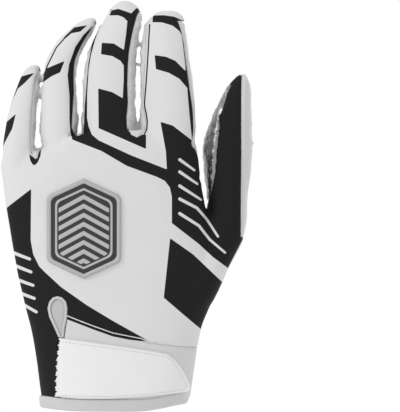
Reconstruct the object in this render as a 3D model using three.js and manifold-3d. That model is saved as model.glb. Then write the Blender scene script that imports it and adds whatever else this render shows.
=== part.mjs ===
// Receiver glove for a left hand, filled out as it is on a raised hand.
// Millimetres, +Z towards the fingertips, the back of the hand towards -Y, the thumb at +X.
// The origin is the middle of the wrist mouth.

import * as THREE from 'three';
import { mergeVertices } from 'three/addons/utils/BufferGeometryUtils.js';
import Module from 'manifold-3d';

const wasm = await Module();
wasm.setup();

// Driving dimensions: the hand
const palmLength = 136;        // wrist mouth to the web between middle and ring finger
const palmDepth = 31;          // back to palm at the knuckles
const palmEase = 1;            // what the knuckles stand out past the finger row, each side
const wristWidth = 73;
const wristDepth = 43;
const handLean = -8.5;         // sideways shift of the finger row from the wrist
const webDrop = 11;            // how much lower the web beside the little finger lies
const thenarDepth = 3;         // extra fullness of the palm below the thumb

// Driving dimensions: fingers and thumb
const indexLength = 59;        // lengths count from the web line to the tip
const middleLength = 64;
const ringLength = 55.5;
const littleLength = 32.5;
const indexWidth = 28;
const middleWidth = 27.2;
const ringWidth = 19.2;
const littleWidth = 17.5;
const fingerDepth = 20.5;
const fingerGap = 1;
const thumbLength = 120;       // from the thumb's root inside the palm to its tip
const thumbWidth = 24.4;
const thumbDepth = 23;
const thumbGap = 2.2;          // free space between the thumb and the side of the hand
const thumbForward = 8;        // how far the thumb stands towards the palm side

// Driving dimensions: cloth and trim
const wall = 1.4;
const seamGap = 0.3;
const fourchetteWidth = 13.5;
const fourchetteStop = 6;      // how far below the shorter fingertip a side strip ends
const fourchetteDip = 4;       // how far a side strip reaches below its web
const tipWrap = 5;             // how far the back panel wraps over a fingertip
const bindingHeight = 6;
const bindingRise = 0.6;
const strapHeight = 29;
const strapThickness = 1.6;
const ventWidth = 9.4;
const ventHeight = 18;
const ventRim = 1.2;
const gussetSink = 0.5;
const pipingWidth = 1.1;
const badgeWidth = 36;
const badgeHeight = 47;
const badgeThickness = 1.3;
const badgeRim = 2;
const badgeRimRise = 0.7;

// Sizes that follow from them
const gloveLength = palmLength + middleLength;
const fingerRow = littleWidth + ringWidth + middleWidth + indexWidth + 3 * fingerGap;
const palmWidth = fingerRow + 2 * palmEase;
const handRight = handLean + palmWidth / 2;
const thumbCentre = handRight + thumbGap + thumbWidth / 2;
const thumbRoot = palmLength * 0.322;
const thumbWeb = palmLength * 0.737;
const curlStart = palmLength * 0.84;
const curlPast = 1.1;          // the bend goes on a little past the longest tip
const reach = 2 * (palmWidth + palmDepth);
const powerHand = 2.3;
const powerFinger = 2.25;
const handSides = 26;
const fingerSides = 12;
const leastMitre = 0.5;        // keeps a grown outline's sharp corners short
const gussetReach = 0.5;       // how much of the thumb's half width the silver strip takes
const gussetFront = 0.3;       // where it ends towards the palm, as a share of thumbDepth
const bandAcross = 0.31;       // where the thumb's outer band starts, as a share of its width
const bandFoot = 0.62;         // and how high it starts, as a share of palmLength
const ventArcPoints = 13;

// Small helpers
const clamp = (value, low, high) => Math.min(high, Math.max(low, value));
const mix = (a, b, share) => a + (b - a) * share;
const ease = (share) => {
  const s = clamp(share, 0, 1);
  return s * s * (3 - 2 * s);
};

// Value of one column of a table at a height, straight between its rows.
function column(rows, key, name, at) {
  const above = rows.findIndex((row) => row[key] >= at);
  if (above === 0) return rows[0][name];
  if (above < 0) return rows[rows.length - 1][name];
  const low = rows[above - 1];
  const high = rows[above];
  return mix(low[name], high[name], (at - low[key]) / (high[key] - low[key]));
}

// Sections of the hand. up is a share of palmLength, spread runs from wristWidth (0) to
// palmWidth (1), thin from wristDepth (0) to palmDepth (1), lean is a share of handLean
// and slant a share of webDrop.
const handRows = [
  { up: 0.000, spread: -0.15, thin: 0.00, lean: 0.08, slant: 0 },
  { up: 0.068, spread: 0.00, thin: 0.05, lean: 0.00, slant: 0 },
  { up: 0.172, spread: 0.16, thin: 0.20, lean: 0.00, slant: 0 },
  { up: 0.290, spread: 0.40, thin: 0.40, lean: 0.00, slant: 0 },
  { up: 0.394, spread: 0.76, thin: 0.52, lean: -0.10, slant: 0 },
  { up: 0.509, spread: 0.95, thin: 0.62, lean: 0.05, slant: 0 },
  { up: 0.616, spread: 1.01, thin: 0.75, lean: 0.28, slant: 0 },
  { up: 0.737, spread: 1.00, thin: 0.90, lean: 0.60, slant: 0 },
  { up: 0.820, spread: 0.97, thin: 1.10, lean: 0.80, slant: 0.05 },
  { up: 0.902, spread: 0.96, thin: 1.36, lean: 0.94, slant: 0.4 },
  { up: 0.965, spread: 0.86, thin: 1.62, lean: 1.00, slant: 0.8 },
  { up: 1.006, spread: 0.60, thin: 2.00, lean: 1.00, slant: 1 },
];

// Sections of each finger. up is a share of its length above the web line, wide a share of its
// width, deep a share of fingerDepth and across a sideways shift as a share of its width.
const fingers = {
  little: {
    length: littleLength, width: littleWidth, curl: 45,
    rows: [
      { up: -0.62, wide: 0.92, deep: 1.00, across: 0.02 },
      { up: -0.29, wide: 0.95, deep: 0.92, across: 0.00 },
      { up: 0.12, wide: 0.87, deep: 0.80, across: 0.05 },
      { up: 0.40, wide: 0.78, deep: 0.76, across: 0.13 },
      { up: 0.70, wide: 0.66, deep: 0.68, across: 0.25 },
      { up: 0.87, wide: 0.55, deep: 0.56, across: 0.33 },
      { up: 0.96, wide: 0.40, deep: 0.40, across: 0.38 },
      { up: 1.00, wide: 0.20, deep: 0.20, across: 0.41 },
    ],
  },
  ring: {
    length: ringLength, width: ringWidth, curl: 26,
    rows: [
      { up: -0.28, wide: 0.92, deep: 1.14, across: 0.00 },
      { up: 0.00, wide: 1.00, deep: 1.02, across: 0.00 },
      { up: 0.34, wide: 0.93, deep: 0.90, across: 0.00 },
      { up: 0.57, wide: 0.86, deep: 0.86, across: 0.04 },
      { up: 0.79, wide: 0.80, deep: 0.78, across: 0.31 },
      { up: 0.90, wide: 0.66, deep: 0.66, across: 0.58 },
      { up: 0.97, wide: 0.46, deep: 0.46, across: 0.74 },
      { up: 1.00, wide: 0.22, deep: 0.22, across: 0.80 },
    ],
  },
  middle: {
    length: middleLength, width: middleWidth, curl: 18,
    rows: [
      { up: -0.25, wide: 0.94, deep: 1.24, across: 0.00 },
      { up: 0.00, wide: 1.00, deep: 1.11, across: 0.00 },
      { up: 0.30, wide: 0.98, deep: 0.98, across: 0.01 },
      { up: 0.50, wide: 0.95, deep: 0.94, across: 0.03 },
      { up: 0.75, wide: 0.81, deep: 0.86, across: 0.16 },
      { up: 0.90, wide: 0.64, deep: 0.66, across: 0.28 },
      { up: 0.97, wide: 0.42, deep: 0.44, across: 0.29 },
      { up: 1.00, wide: 0.18, deep: 0.20, across: 0.29 },
    ],
  },
  index: {
    length: indexLength, width: indexWidth, curl: 16,
    rows: [
      { up: -0.27, wide: 0.94, deep: 1.22, across: 0.03 },
      { up: 0.00, wide: 1.00, deep: 1.10, across: 0.01 },
      { up: 0.15, wide: 0.99, deep: 1.04, across: 0.01 },
      { up: 0.40, wide: 0.95, deep: 0.96, across: -0.01 },
      { up: 0.65, wide: 0.88, deep: 0.90, across: -0.04 },
      { up: 0.88, wide: 0.74, deep: 0.70, across: -0.03 },
      { up: 0.96, wide: 0.56, deep: 0.50, across: 0.00 },
      { up: 1.00, wide: 0.30, deep: 0.24, across: 0.02 },
    ],
  },
};

// Sections of the thumb, the same columns. up is a share of thumbLength above its root.
const thumbRows = [
  { up: 0.00, wide: 1.00, deep: 0.96, across: -1.10 },
  { up: 0.08, wide: 1.11, deep: 1.10, across: -0.84 },
  { up: 0.21, wide: 1.15, deep: 1.12, across: -0.56 },
  { up: 0.33, wide: 1.04, deep: 1.08, across: -0.21 },
  { up: 0.47, wide: 0.80, deep: 0.98, across: 0.00 },
  { up: 0.61, wide: 0.94, deep: 0.96, across: 0.00 },
  { up: 0.69, wide: 1.00, deep: 0.98, across: 0.00 },
  { up: 0.77, wide: 0.90, deep: 0.92, across: 0.04 },
  { up: 0.87, wide: 0.68, deep: 0.78, across: 0.14 },
  { up: 0.94, wide: 0.52, deep: 0.60, across: 0.22 },
  { up: 0.98, wide: 0.32, deep: 0.38, across: 0.28 },
  { up: 1.00, wide: 0.16, deep: 0.18, across: 0.30 },
];

// Centre of each finger's root, from the little finger across the row.
const order = ['little', 'ring', 'middle', 'index'];
let edge = handLean - fingerRow / 2;
for (const name of order) {
  const finger = fingers[name];
  finger.root = edge + finger.width / 2;
  finger.tip = palmLength + finger.length;
  edge += finger.width + fingerGap;
}

// Depth of the surface halfway between back and palm: it curls to the palm side along the
// fingers and steps towards the palm at the thumb.
function midDepth(x, z) {
  const bend = clamp((z - curlStart) / (gloveLength - curlStart), 0, curlPast);
  const roots = order.map((name) => ({ at: fingers[name].root, curl: fingers[name].curl }));
  const curl = column(roots, 'at', 'curl', x);
  const sideways = ease((x - handRight + thumbGap * 2) / (thumbGap * 4));
  const upwards = ease((z - thumbRoot) / (thumbWeb - thumbRoot));
  return curl * bend * bend + thumbForward * sideways * upwards;
}

// Closed solids
function solid(geometry) {
  geometry.deleteAttribute('normal');
  geometry.deleteAttribute('uv');
  const merged = mergeVertices(geometry, 1e-5);
  return new wasm.Manifold(new wasm.Mesh({
    numProp: 3,
    vertProperties: new Float32Array(merged.attributes.position.array),
    triVerts: new Uint32Array(merged.index.array),
  }));
}

const joined = (solids) => solids.reduce((whole, next) => whole.add(next));

// Solid through rings of equally many points, from the lowest to the highest. Both ends are
// closed by strips between the two halves of the end ring.
function loft(rings) {
  const sides = rings[0].length;
  const positions = rings.flat().flatMap((point) => [point.x, point.y, point.z]);
  const faces = [];
  for (let row = 0; row + 1 < rings.length; row += 1) {
    for (let side = 0; side < sides; side += 1) {
      const next = (side + 1) % sides;
      const a = row * sides + side;
      const b = row * sides + next;
      faces.push(a, b, b + sides, a, b + sides, a + sides);
    }
  }
  const last = (rings.length - 1) * sides;
  for (let step = 0; step < sides / 2; step += 1) {
    const a = step;
    const b = step + 1;
    const c = (sides - step - 1) % sides;
    const d = (sides - step) % sides;
    if (a !== d) faces.push(a, d, c, last + a, last + c, last + d);
    if (b !== c) faces.push(a, c, b, last + a, last + b, last + c);
  }
  const geometry = new THREE.BufferGeometry();
  geometry.setAttribute('position', new THREE.Float32BufferAttribute(positions, 3));
  geometry.setIndex(faces);
  return solid(geometry);
}

// One superellipse ring, counter-clockwise seen from above.
function ring(section, sides, power) {
  const round = (value) => Math.sign(value) * Math.abs(value) ** (2 / power);
  return Array.from({ length: sides }, (_, index) => {
    const angle = (2 * Math.PI * index) / sides;
    const u = round(Math.cos(angle));
    const v = round(Math.sin(angle));
    const lift = section.lift ? section.lift(u) : 0;
    const depth = v > 0 ? section.palmward : section.backward;
    const bulge = section.bulge ? section.bulge(u, v) : 0;
    return new THREE.Vector3(
      section.x + u * section.half, section.y + v * depth + bulge, section.z + lift);
  });
}

// The hand, grown outwards by an amount, or inwards where it is negative.
function handBody(grow, floor = 0) {
  const rings = handRows.map((row, index) => {
    const width = mix(wristWidth, palmWidth, row.spread);
    const depth = mix(wristDepth, palmDepth, row.thin);
    const drop = webDrop * row.slant;
    const top = index === handRows.length - 1 ? grow : 0;
    const fullness = thenarDepth * Math.sin(Math.PI * clamp(row.up / 0.85, 0, 1));
    return ring({
      x: handLean * row.lean,
      y: 0,
      z: index === 0 ? floor : palmLength * row.up + top,
      half: width / 2 + grow,
      backward: depth / 2 + grow,
      palmward: depth / 2 + grow,
      lift: (u) => -drop * clamp((-u - 0.2) / 0.4, 0, 1),
      bulge: (u, v) => (v > 0 ? fullness * v * ease((u + 0.4) / 1.2) : 0),
    }, handSides, powerHand);
  });
  return loft(rings);
}

const fingerCentre = (finger, z) => finger.root
  + finger.width * column(finger.rows, 'up', 'across', (z - palmLength) / finger.length);
const fingerHalf = (finger, z) => (finger.width / 2)
  * column(finger.rows, 'up', 'wide', (z - palmLength) / finger.length);
const fingerDeep = (finger, z) => column(
  finger.rows, 'up', 'deep', (z - palmLength) / finger.length);

function fingerBody(finger, grow) {
  const rings = finger.rows.map((row) => {
    const z = palmLength + row.up * (finger.length + grow);
    const x = finger.root + finger.width * row.across;
    const depth = (fingerDepth * row.deep) / 2 + grow;
    return ring({
      x, z,
      y: midDepth(x, z),
      half: (finger.width * row.wide) / 2 + grow,
      backward: depth,
      palmward: depth,
    }, fingerSides, powerFinger);
  });
  return loft(rings);
}

const thumbAt = (name, z) => column(thumbRows, 'up', name, (z - thumbRoot) / thumbLength);

function thumbBody(grow) {
  const rings = thumbRows.map((row) => {
    const z = thumbRoot + row.up * (thumbLength + grow);
    const x = thumbCentre + thumbWidth * row.across;
    const depth = (thumbDepth * row.deep) / 2 + grow;
    return ring({
      x, z,
      y: midDepth(x, z),
      half: (thumbWidth * row.wide) / 2 + grow,
      backward: depth,
      palmward: depth,
    }, fingerSides, powerFinger);
  });
  return loft(rings);
}

function gloveBody(grow, floor) {
  const digits = order.map((name) => fingerBody(fingers[name], grow));
  return joined([handBody(grow, floor), ...digits, thumbBody(grow)]);
}

// Regions that part the cloth. Each takes how far it grows past the seam line.

// Corner points of an outline, moved outwards by an amount.
function grown(outline, amount) {
  const area = THREE.ShapeUtils.area(outline);
  const points = area < 0 ? [...outline].reverse() : outline;
  return points.map((point, index) => {
    const before = points[(index + points.length - 1) % points.length];
    const after = points[(index + 1) % points.length];
    const arriving = point.clone().sub(before).normalize();
    const leaving = after.clone().sub(point).normalize();
    const outA = new THREE.Vector2(arriving.y, -arriving.x);
    const outB = new THREE.Vector2(leaving.y, -leaving.x);
    const mitre = outA.add(outB).normalize();
    const share = Math.max(leastMitre, mitre.dot(outB));
    return point.clone().addScaledVector(mitre, amount / share);
  });
}

// Outline in X and Z, run through the whole depth between two values of Y.
function prism(outline, near = -reach, far = reach) {
  const shape = new THREE.Shape(outline);
  const geometry = new THREE.ExtrudeGeometry(shape, { depth: far - near, bevelEnabled: false });
  geometry.rotateX(Math.PI / 2);
  geometry.translate(0, far, 0);
  return solid(geometry);
}

const flat = (x, z) => new THREE.Vector2(x, z);

// Everything on the palm side of the middle surface.
function palmSide(grow) {
  const xs = [
    -reach, ...order.map((name) => fingers[name].root),
    handRight - 2 * thumbGap, handRight - thumbGap, handRight, handRight + thumbGap,
    handRight + 2 * thumbGap, reach,
  ];
  const steps = 11;
  const stations = xs.map((x) => {
    const seam = Array.from({ length: steps + 1 }, (_, step) => {
      const z = mix(-1, gloveLength + 2, step / steps);
      return new THREE.Vector3(x, midDepth(x, z) - grow, z);
    });
    const outer = [...seam].reverse().map((point) => new THREE.Vector3(x, reach, point.z));
    return [...seam, ...outer];
  });
  return loft(stations.map((points) => points.reverse()));
}

// A box that follows a digit up between two heights, from one side of it to the other, and
// reaches past both heights by the growth.
function digitBox(sides, low, high, depths, grow) {
  const steps = 6;
  const rings = Array.from({ length: steps + 1 }, (_, step) => {
    const at = mix(low, high, step / steps);
    const past = { 0: -grow, [steps]: grow }[step] ?? 0;
    const z = at + past;
    const [left, right] = sides(at);
    const [back, front] = depths(at);
    return [
      new THREE.Vector3(right, midDepth(right, z) + front, z),
      new THREE.Vector3(left, midDepth(left, z) + front, z),
      new THREE.Vector3(left, midDepth(left, z) + back, z),
      new THREE.Vector3(right, midDepth(right, z) + back, z),
    ];
  });
  return loft(rings);
}

// The part of each fingertip that the back panel wraps.
function tipCap(finger, grow) {
  const sides = (z) => {
    const half = fingerHalf(finger, z) + fingerGap / 2;
    return [fingerCentre(finger, z) - half, fingerCentre(finger, z) + half];
  };
  return digitBox(sides, finger.tip - tipWrap, finger.tip + 1, () => [-reach, reach], grow);
}

// The strip between two neighbouring fingers, from one finger's middle to the next one's.
function between(leftFinger, rightFinger, web, grow) {
  const top = Math.min(leftFinger.tip, rightFinger.tip) - fourchetteStop;
  const depths = (z) => {
    const deep = Math.min(fingerDeep(leftFinger, z), fingerDeep(rightFinger, z));
    const half = (fourchetteWidth / 2) * deep + grow;
    return [-half, half];
  };
  const sides = (z) => [
    fingerCentre(leftFinger, z) - grow, fingerCentre(rightFinger, z) + grow];
  return digitBox(sides, web - fourchetteDip, top, depths, grow);
}

// The silver strip on the side of the thumb that faces the hand.
function innerThumb(grow) {
  const low = thumbWeb + 2 * fourchetteDip;
  const high = thumbRoot + thumbLength - fourchetteStop;
  const sides = (z) => {
    const half = (thumbWidth / 2) * thumbAt('wide', z);
    const centre = thumbCentre + thumbWidth * thumbAt('across', z);
    return [centre - half - thumbGap / 2, centre - gussetReach * half + grow];
  };
  const depths = () => [-thumbDepth, gussetFront * thumbDepth + grow];
  return digitBox(sides, low, high, depths, grow);
}

// The set-in thumb piece. Its seam on the palm is an outline in shares of palmWidth from the
// wrist's middle and of palmLength from the wrist mouth.
const thumbSeam = [
  { across: 0.74, up: 0.235 },
  { across: 0.42, up: 0.255 },
  { across: 0.20, up: 0.340 },
  { across: 0.10, up: 0.430 },
  { across: 0.09, up: 0.610 },
  { across: 0.16, up: 0.690 },
];

function thumbPiece(grow) {
  const split = handRight + thumbGap / 2;
  const web = thumbWeb + fourchetteDip / 2;
  const top = thumbRoot + thumbLength + fourchetteDip;
  const outline = thumbSeam.map((row) => flat(palmWidth * row.across, palmLength * row.up));
  const outside = palmWidth * 0.9;
  outline.push(flat(split, web), flat(split, top), flat(outside, top));
  const front = prism(grown(outline, grow)).intersect(palmSide(grow));
  const band = [
    flat(thumbCentre + bandAcross * thumbWidth, palmLength * bandFoot),
    flat(outside, palmLength * bandFoot),
    flat(outside, top),
    flat(thumbCentre + bandAcross * thumbWidth, top),
  ];
  return front.add(prism(grown(band, grow)));
}

// Outlines at the wrist, in shares of half the wrist's width and of a height.
const strapLow = bindingHeight + 2 * seamGap;
const strapTop = strapLow + strapHeight;
const strapRows = [
  { across: -0.75, up: 1.00 }, { across: -0.77, up: 0.50 }, { across: -0.79, up: 0.03 },
  { across: -0.08, up: 0.00 }, { across: 0.45, up: 0.04 }, { across: 0.86, up: 0.10 },
  { across: 0.93, up: 0.16 }, { across: 0.90, up: 0.30 }, { across: 0.84, up: 0.47 },
  { across: 0.75, up: 0.65 }, { across: 0.68, up: 0.74 }, { across: -0.08, up: 0.89 },
];
const strapOutline = strapRows.map((row) => flat(
  (wristWidth / 2) * row.across, strapLow + strapHeight * row.up));

// The seam over the wrist panel, from the vent to the thumb side. up is a share of palmLength.
const wristSeam = [
  { across: -0.64, up: 0.340 },
  { across: -0.27, up: 0.302 },
  { across: -0.03, up: 0.279 },
  { across: 0.35, up: 0.263 },
  { across: 0.50, up: 0.243 },
  { across: 1.60, up: 0.226 },
];
const wristSeamLine = wristSeam.map((row) => flat(
  (wristWidth / 2) * row.across, palmLength * row.up));
const wristLeft = (wristWidth / 2) * -0.76;

const wristOutline = [
  flat(wristLeft, strapTop - ventRim),
  flat(wristLeft, -bindingHeight),
  flat(palmWidth, -bindingHeight),
  ...[...wristSeamLine].reverse(),
];

// The vent: a round head that narrows to the strap's top corner.
function ventOutline(rim) {
  const radius = ventWidth / 2 - rim;
  const foot = strapTop + seamGap;
  const head = foot + ventHeight - ventWidth / 2;
  const x = (wristWidth / 2) * -0.77;
  const arc = Array.from({ length: ventArcPoints }, (_, step) => {
    const angle = Math.PI * (-0.08 + (1.16 * step) / (ventArcPoints - 1));
    return flat(x + radius * Math.cos(angle), head + radius * Math.sin(angle));
  });
  return [flat(x + radius * 0.45, foot), ...arc, flat(x - radius * 0.05, foot)];
}

// Badge outline: a tall hexagon with straight sides.
const badgeX = handLean * 0.6 - palmWidth * 0.105;
const badgeZ = palmLength * 0.65;
function badgeOutline(shrink) {
  const half = badgeWidth / 2;
  const tall = badgeHeight / 2;
  const corners = [
    [0, -1], [0.62, -0.86], [1, -0.5], [1, 0.5], [0.62, 0.86],
    [0, 1], [-0.62, 0.86], [-1, 0.5], [-1, -0.5], [-0.62, -0.86],
  ].map(([u, v]) => flat(badgeX + half * u, badgeZ + tall * v));
  return grown(corners, -shrink);
}

// Cloth between two offsets of the hand's surface, on the back of the hand only.
function overlay(outline, low, high) {
  const layer = handBody(high, -2 * bindingHeight).subtract(handBody(low, -3 * bindingHeight));
  return layer.intersect(prism(outline, -reach, 0));
}

// The cloth shell, parted along its seams
const hollow = gloveBody(-wall, -bindingHeight);
let cloth = gloveBody(0, 0).subtract(hollow);

// Takes one region out of the cloth and leaves a seam around it.
function carve(region) {
  const piece = cloth.intersect(region(-seamGap / 2));
  cloth = cloth.subtract(region(seamGap / 2));
  return piece;
}

const below = (height, low = -2 * bindingHeight) => prism([
  flat(-reach, low), flat(reach, low), flat(reach, height), flat(-reach, height)]);

cloth = cloth.subtract(below(bindingHeight + seamGap));
cloth = cloth.subtract(prism(ventOutline(0), -reach, 0));

const webs = {
  little: palmLength - webDrop + seamGap,
  ring: palmLength,
  middle: palmLength + seamGap,
};
const pieces = {};
for (let index = 0; index + 1 < order.length; index += 1) {
  const left = order[index];
  const right = order[index + 1];
  pieces[`fourchette_${left}_${right}`] = carve(
    (grow) => between(fingers[left], fingers[right], webs[left], grow));
}
pieces.thumb_gusset = carve(innerThumb);
pieces.thumb_palm = carve(thumbPiece);
pieces.palm_panel = carve((grow) => order.reduce(
  (region, name) => region.subtract(tipCap(fingers[name], -grow)), palmSide(grow)));
pieces.wrist_panel = carve((grow) => prism(grown(wristOutline, grow)));
pieces.back_panel = cloth;

// Trim
pieces.cuff_binding = handBody(bindingRise).subtract(handBody(-wall - bindingRise, -bindingHeight))
  .intersect(below(bindingHeight));
pieces.closure_strap = overlay(strapOutline, seamGap, seamGap + strapThickness);

const ventRing = prism(grown(ventOutline(0), -seamGap), -reach, 0)
  .subtract(prism(ventOutline(ventRim), -reach, seamGap));
pieces.vent_binding = handBody(bindingRise, -bindingHeight)
  .subtract(handBody(-wall, -2 * bindingHeight)).intersect(ventRing);
pieces.vent_gusset = handBody(-gussetSink, -bindingHeight)
  .subtract(handBody(-gussetSink - wall, -2 * bindingHeight))
  .intersect(prism(grown(ventOutline(ventRim), -seamGap), -reach, 0));

const pipingLine = wristSeamLine.slice(0, 5);
const pipingOutline = [
  ...pipingLine.map((point) => flat(point.x, point.y)),
  ...[...pipingLine].reverse().map((point) => flat(point.x, point.y + pipingWidth)),
];
pieces.wrist_piping = overlay(pipingOutline, seamGap, seamGap + bindingRise);

const badgePlate = overlay(badgeOutline(0), seamGap, seamGap + badgeThickness);
const badgeEdge = overlay(badgeOutline(0), seamGap, seamGap + badgeThickness + badgeRimRise)
  .subtract(prism(badgeOutline(badgeRim)));
pieces.back_badge = badgePlate.add(badgeEdge);

// The glove
const finishes = {
  back_panel: { color: 0xdedede, roughness: 0.8, metalness: 0 },
  palm_panel: { color: 0xd2d2d2, roughness: 0.55, metalness: 0 },
  thumb_palm: { color: 0xd2d2d2, roughness: 0.55, metalness: 0 },
  thumb_gusset: { color: 0x9a9a9c, roughness: 0.35, metalness: 0.8 },
  wrist_panel: { color: 0xc8c8c8, roughness: 0.85, metalness: 0 },
  closure_strap: { color: 0xececec, roughness: 0.5, metalness: 0 },
  cuff_binding: { color: 0xc4c4c4, roughness: 0.85, metalness: 0 },
  vent_binding: { color: 0xe4e4e4, roughness: 0.8, metalness: 0 },
  vent_gusset: { color: 0xcfcfcf, roughness: 0.9, metalness: 0 },
  wrist_piping: { color: 0xf0f0f0, roughness: 0.7, metalness: 0 },
  back_badge: { color: 0x2a2a2c, roughness: 0.4, metalness: 0 },
};
const sideCloth = { color: 0xe2e2e2, roughness: 0.75, metalness: 0 };

const glove = new THREE.Group();
for (const [name, piece] of Object.entries(pieces)) {
  const mesh = piece.getMesh();
  const geometry = new THREE.BufferGeometry();
  geometry.setAttribute('position', new THREE.BufferAttribute(mesh.vertProperties, 3));
  geometry.setIndex(new THREE.BufferAttribute(mesh.triVerts, 1));
  geometry.computeVertexNormals();
  const part = new THREE.Mesh(geometry, new THREE.MeshStandardMaterial(finishes[name] ?? sideCloth));
  part.name = name;
  glove.add(part);
}

export default glove;
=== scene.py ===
# %% [markdown]
# A football receiver glove for a left hand, upright and filled out as on a raised hand.
# The CAD model gives the size, the pieces and where they meet. This lesson dresses it:
# one smooth skin is made from the same few sections, parted along the same seams, and
# each part becomes cloth, grip sheet or silver crinkle of its own.

import math

import bpy
import numpy as np
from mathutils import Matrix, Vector, kdtree, noise
from mathutils.bvhtree import BVHTree


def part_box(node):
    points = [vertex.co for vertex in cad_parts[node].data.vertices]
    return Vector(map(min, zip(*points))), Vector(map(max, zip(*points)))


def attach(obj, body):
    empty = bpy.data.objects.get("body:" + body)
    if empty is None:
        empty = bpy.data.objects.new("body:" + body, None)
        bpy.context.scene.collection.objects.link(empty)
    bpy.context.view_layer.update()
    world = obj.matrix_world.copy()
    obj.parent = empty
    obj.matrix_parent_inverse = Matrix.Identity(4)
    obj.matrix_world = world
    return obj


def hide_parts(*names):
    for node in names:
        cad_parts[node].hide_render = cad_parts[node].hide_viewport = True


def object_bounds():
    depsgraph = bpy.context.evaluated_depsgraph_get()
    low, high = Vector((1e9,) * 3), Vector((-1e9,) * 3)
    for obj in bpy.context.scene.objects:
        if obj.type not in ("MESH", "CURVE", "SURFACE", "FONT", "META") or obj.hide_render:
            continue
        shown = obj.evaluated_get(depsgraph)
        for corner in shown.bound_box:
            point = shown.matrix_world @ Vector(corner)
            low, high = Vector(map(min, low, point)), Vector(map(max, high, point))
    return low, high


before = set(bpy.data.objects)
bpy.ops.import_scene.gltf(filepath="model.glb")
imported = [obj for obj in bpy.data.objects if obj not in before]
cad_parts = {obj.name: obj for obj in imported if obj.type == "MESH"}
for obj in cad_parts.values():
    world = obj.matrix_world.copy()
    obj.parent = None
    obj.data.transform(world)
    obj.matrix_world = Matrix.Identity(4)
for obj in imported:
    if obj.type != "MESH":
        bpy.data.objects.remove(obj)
cad_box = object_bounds()
print("CAD box in metres:", [round(v, 4) for corner in cad_box for v in corner])

# %% [markdown]
# Every size below is counted in millimetres of a glove 200 mm long, so the whole dress
# follows the length that the frame has. The photograph is 400 by 412 pixels, and its left
# view is the back of the glove: a pixel of it is turned into a place across and up.

# %% Sizes
MM = cad_box[1].z / 200
PIXEL = 0.487 * MM
PHOTO_WIDTH = 400
PHOTO_HEIGHT = 412
WRIST_PIXEL_X = 116
CUFF_PIXEL_Y = 410

PALM_LENGTH = 136 * MM
PALM_DEPTH = 31 * MM
WRIST_WIDTH = 73 * MM
WRIST_DEPTH = 43 * MM
HAND_LEAN = -8.5 * MM
WEB_DROP = 11 * MM
THENAR_DEPTH = 3 * MM
FINGER_DEPTH = 20.5 * MM
FINGER_GAP = 1.0 * MM
FINGER_LENGTHS = {"little": 32.5 * MM, "ring": 55.5 * MM, "middle": 64 * MM, "index": 59 * MM}
FINGER_WIDTHS = {"little": 17.5 * MM, "ring": 19.2 * MM, "middle": 27.2 * MM, "index": 28 * MM}
FINGER_CURLS = {"little": 45 * MM, "ring": 26 * MM, "middle": 18 * MM, "index": 16 * MM}
THUMB_LENGTH = 120 * MM
THUMB_WIDTH = 24.4 * MM
THUMB_DEPTH = 23 * MM
THUMB_GAP = 2.2 * MM
THUMB_FORWARD = 8 * MM
WALL = 1.2 * MM
BINDING_HEIGHT = 6 * MM
STRAP_HEIGHT = 29 * MM
FOURCHETTE_DIP = 4 * MM
FOURCHETTE_STOP = 6 * MM
TIP_WRAP = 5 * MM
ORDER = ("little", "ring", "middle", "index")

FINGER_ROW = sum(FINGER_WIDTHS.values()) + 3 * FINGER_GAP
PALM_WIDTH = FINGER_ROW + 2 * MM
HAND_RIGHT = HAND_LEAN + PALM_WIDTH / 2
THUMB_CENTRE = HAND_RIGHT + THUMB_GAP + THUMB_WIDTH / 2
THUMB_ROOT = 0.322 * PALM_LENGTH
THUMB_WEB = 0.737 * PALM_LENGTH
CURL_START = 0.84 * PALM_LENGTH
GLOVE_LENGTH = PALM_LENGTH + FINGER_LENGTHS["middle"]


def place(px, py):
    """Across and up, in metres, of a pixel in the photograph's left view."""
    return (px - WRIST_PIXEL_X) * PIXEL, (CUFF_PIXEL_Y - py) * PIXEL


print("palm width:", round(PALM_WIDTH / MM, 1), "mm")

# %% [markdown]
# A glove on a hand is a soft form with few turning points. It could be sculpted, or cut as
# flat cloth and inflated. Here short tables of sections give the outline, because the same
# tables shape the solids: a smooth curve runs through each column.

# %% Section tables
def table(text):
    """Columns by name, from a line of names and a line for each section."""
    names, *rows = text.strip().splitlines()
    columns = np.array([row.split() for row in rows], float).T
    return dict(zip(names.split(), columns))


def smooth(xs, ys, at):
    """A smooth curve through points that never swings past them."""
    xs = np.asarray(xs, float)
    ys = np.asarray(ys, float)
    at = np.clip(at, xs[0], xs[-1])
    steps = np.diff(xs)
    slopes = np.diff(ys) / steps
    tangents = np.zeros(len(xs))
    tangents[0] = slopes[0]
    tangents[-1] = slopes[-1]
    same = slopes[:-1] * slopes[1:] > 0
    total = slopes[:-1] + slopes[1:]
    tangents[1:-1] = np.where(same, 2 * slopes[:-1] * slopes[1:] / np.where(same, total, 1), 0)
    row = np.clip(np.searchsorted(xs, at, side="right") - 1, 0, len(xs) - 2)
    t = (at - xs[row]) / steps[row]
    a = (1 + 2 * t) * (1 - t) ** 2 * ys[row] + t * (1 - t) ** 2 * steps[row] * tangents[row]
    b = t * t * (3 - 2 * t) * ys[row + 1] + t * t * (t - 1) * steps[row] * tangents[row + 1]
    return a + b


def ease(share):
    """A step from 0 to 1 with soft ends."""
    share = np.clip(share, 0, 1)
    return share * share * (3 - 2 * share)


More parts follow.
